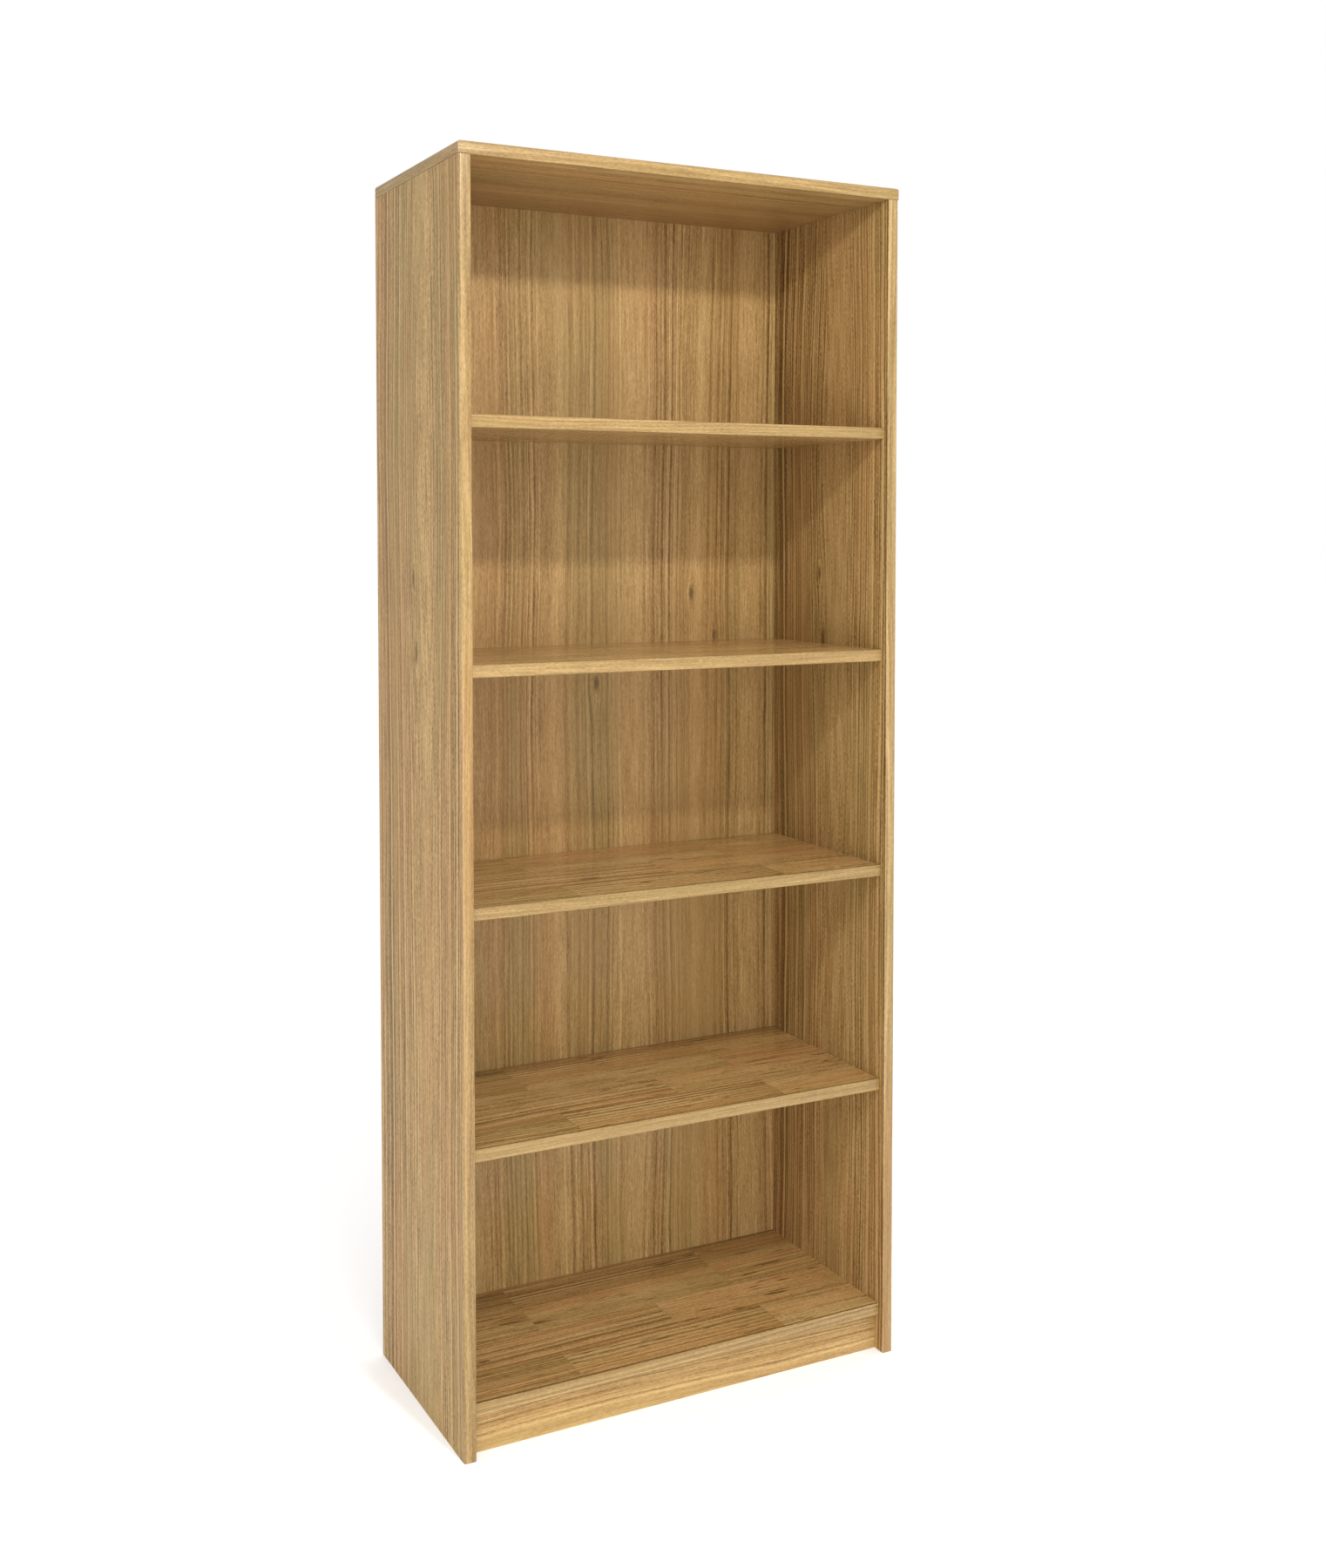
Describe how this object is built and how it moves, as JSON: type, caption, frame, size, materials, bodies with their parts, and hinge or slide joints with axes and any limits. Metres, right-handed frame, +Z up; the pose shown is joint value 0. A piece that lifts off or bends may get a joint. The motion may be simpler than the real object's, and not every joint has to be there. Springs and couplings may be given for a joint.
{
  "type": "bookcase with adjustable shelves",
  "caption": "Tall open bookcase in light wood veneer: adjustable shelves on hidden pins, fixed bottom shelf on a recessed plinth, inset back panel and anti-tip brackets.",
  "frame": {"origin": "on the floor at the middle of the footprint", "axes": "+Z up, the open front faces -Y and the back faces +Y, +X to the right seen from the front"},
  "size_m": [0.71, 0.355, 1.822],
  "materials": {
    "side_veneer": "vertical-grain oak-type veneer, satin lacquer",
    "top_veneer": "lengthwise-grain veneer, satin lacquer",
    "back_veneer": "vertical-grain veneer on thin board, satin lacquer",
    "plinth_veneer": "lengthwise-grain veneer, satin lacquer",
    "shelf_veneer": "staved lengthwise-grain veneer, semi-gloss lacquer",
    "lipping": "solid lipping with rounded corners, semi-gloss lacquer",
    "beech": "raw fluted beech",
    "pin_steel": "nickel-plated steel",
    "nail_steel": "bright steel",
    "screw_steel": "zinc-plated steel",
    "bracket_steel": "zinc-plated steel, folded",
    "plug_plastic": "moulded in the veneer's colour"
  },
  "bodies": {
    "carcass": {"side_panel_left": "side_veneer", "side_panel_right": "side_veneer", "side_edging_left": "lipping", "side_edging_right": "lipping", "top_panel": "top_veneer", "top_edging_front": "lipping", "top_edging_left": "lipping", "top_edging_right": "lipping", "bottom_shelf": "shelf_veneer", "bottom_edging": "lipping", "plinth": "plinth_veneer", "back_panel": "back_veneer", "back_nails": "nail_steel", "hole_plugs_left": "plug_plastic", "hole_plugs_right": "plug_plastic", "top_dowels_left": "beech", "top_dowels_right": "beech", "bottom_dowels_left": "beech", "bottom_dowels_right": "beech", "plinth_dowels_left": "beech", "plinth_dowels_right": "beech", "plinth_top_dowels": "beech", "wall_bracket_left": "bracket_steel", "wall_bracket_right": "bracket_steel", "bracket_screws_left": "screw_steel", "bracket_screws_right": "screw_steel"},
    "shelf_1": {"shelf_1": "shelf_veneer", "shelf_edging_1": "lipping"},
    "shelf_2": {"shelf_2": "shelf_veneer", "shelf_edging_2": "lipping"},
    "shelf_3": {"shelf_3": "shelf_veneer", "shelf_edging_3": "lipping"},
    "shelf_4": {"shelf_4": "shelf_veneer", "shelf_edging_4": "lipping"},
    "shelf_1_pin_front_left": {"shelf_1_pin_front_left": "pin_steel"},
    "shelf_1_pin_front_right": {"shelf_1_pin_front_right": "pin_steel"},
    "shelf_1_pin_rear_left": {"shelf_1_pin_rear_left": "pin_steel"},
    "shelf_1_pin_rear_right": {"shelf_1_pin_rear_right": "pin_steel"},
    "shelf_2_pin_front_left": {"shelf_2_pin_front_left": "pin_steel"},
    "shelf_2_pin_front_right": {"shelf_2_pin_front_right": "pin_steel"},
    "shelf_2_pin_rear_left": {"shelf_2_pin_rear_left": "pin_steel"},
    "shelf_2_pin_rear_right": {"shelf_2_pin_rear_right": "pin_steel"},
    "shelf_3_pin_front_left": {"shelf_3_pin_front_left": "pin_steel"},
    "shelf_3_pin_front_right": {"shelf_3_pin_front_right": "pin_steel"},
    "shelf_3_pin_rear_left": {"shelf_3_pin_rear_left": "pin_steel"},
    "shelf_3_pin_rear_right": {"shelf_3_pin_rear_right": "pin_steel"},
    "shelf_4_pin_front_left": {"shelf_4_pin_front_left": "pin_steel"},
    "shelf_4_pin_front_right": {"shelf_4_pin_front_right": "pin_steel"},
    "shelf_4_pin_rear_left": {"shelf_4_pin_rear_left": "pin_steel"},
    "shelf_4_pin_rear_right": {"shelf_4_pin_rear_right": "pin_steel"}
  },
  "joints": [
    {"name": "shelf_1_lift", "type": "slide", "parent": "carcass", "child": "shelf_1", "axis": [0, 0, 1], "range_m": [0, 0.312]},
    {"name": "shelf_2_lift", "type": "slide", "parent": "carcass", "child": "shelf_2", "axis": [0, 0, 1], "range_m": [0, 0.31]},
    {"name": "shelf_3_lift", "type": "slide", "parent": "carcass", "child": "shelf_3", "axis": [0, 0, 1], "range_m": [0, 0.317]},
    {"name": "shelf_4_lift", "type": "slide", "parent": "carcass", "child": "shelf_4", "axis": [0, 0, 1], "range_m": [0, 0.339]},
    {"name": "shelf_1_pin_front_left_pull", "type": "slide", "parent": "carcass", "child": "shelf_1_pin_front_left", "axis": [1, 0, 0], "range_m": [0, 0.011]},
    {"name": "shelf_1_pin_front_right_pull", "type": "slide", "parent": "carcass", "child": "shelf_1_pin_front_right", "axis": [-1, 0, 0], "range_m": [0, 0.011]},
    {"name": "shelf_1_pin_rear_left_pull", "type": "slide", "parent": "carcass", "child": "shelf_1_pin_rear_left", "axis": [1, 0, 0], "range_m": [0, 0.011]},
    {"name": "shelf_1_pin_rear_right_pull", "type": "slide", "parent": "carcass", "child": "shelf_1_pin_rear_right", "axis": [-1, 0, 0], "range_m": [0, 0.011]},
    {"name": "shelf_2_pin_front_left_pull", "type": "slide", "parent": "carcass", "child": "shelf_2_pin_front_left", "axis": [1, 0, 0], "range_m": [0, 0.011]},
    {"name": "shelf_2_pin_front_right_pull", "type": "slide", "parent": "carcass", "child": "shelf_2_pin_front_right", "axis": [-1, 0, 0], "range_m": [0, 0.011]},
    {"name": "shelf_2_pin_rear_left_pull", "type": "slide", "parent": "carcass", "child": "shelf_2_pin_rear_left", "axis": [1, 0, 0], "range_m": [0, 0.011]},
    {"name": "shelf_2_pin_rear_right_pull", "type": "slide", "parent": "carcass", "child": "shelf_2_pin_rear_right", "axis": [-1, 0, 0], "range_m": [0, 0.011]},
    {"name": "shelf_3_pin_front_left_pull", "type": "slide", "parent": "carcass", "child": "shelf_3_pin_front_left", "axis": [1, 0, 0], "range_m": [0, 0.011]},
    {"name": "shelf_3_pin_front_right_pull", "type": "slide", "parent": "carcass", "child": "shelf_3_pin_front_right", "axis": [-1, 0, 0], "range_m": [0, 0.011]},
    {"name": "shelf_3_pin_rear_left_pull", "type": "slide", "parent": "carcass", "child": "shelf_3_pin_rear_left", "axis": [1, 0, 0], "range_m": [0, 0.011]},
    {"name": "shelf_3_pin_rear_right_pull", "type": "slide", "parent": "carcass", "child": "shelf_3_pin_rear_right", "axis": [-1, 0, 0], "range_m": [0, 0.011]},
    {"name": "shelf_4_pin_front_left_pull", "type": "slide", "parent": "carcass", "child": "shelf_4_pin_front_left", "axis": [1, 0, 0], "range_m": [0, 0.011]},
    {"name": "shelf_4_pin_front_right_pull", "type": "slide", "parent": "carcass", "child": "shelf_4_pin_front_right", "axis": [-1, 0, 0], "range_m": [0, 0.011]},
    {"name": "shelf_4_pin_rear_left_pull", "type": "slide", "parent": "carcass", "child": "shelf_4_pin_rear_left", "axis": [1, 0, 0], "range_m": [0, 0.011]},
    {"name": "shelf_4_pin_rear_right_pull", "type": "slide", "parent": "carcass", "child": "shelf_4_pin_rear_right", "axis": [-1, 0, 0], "range_m": [0, 0.011]}
  ]
}
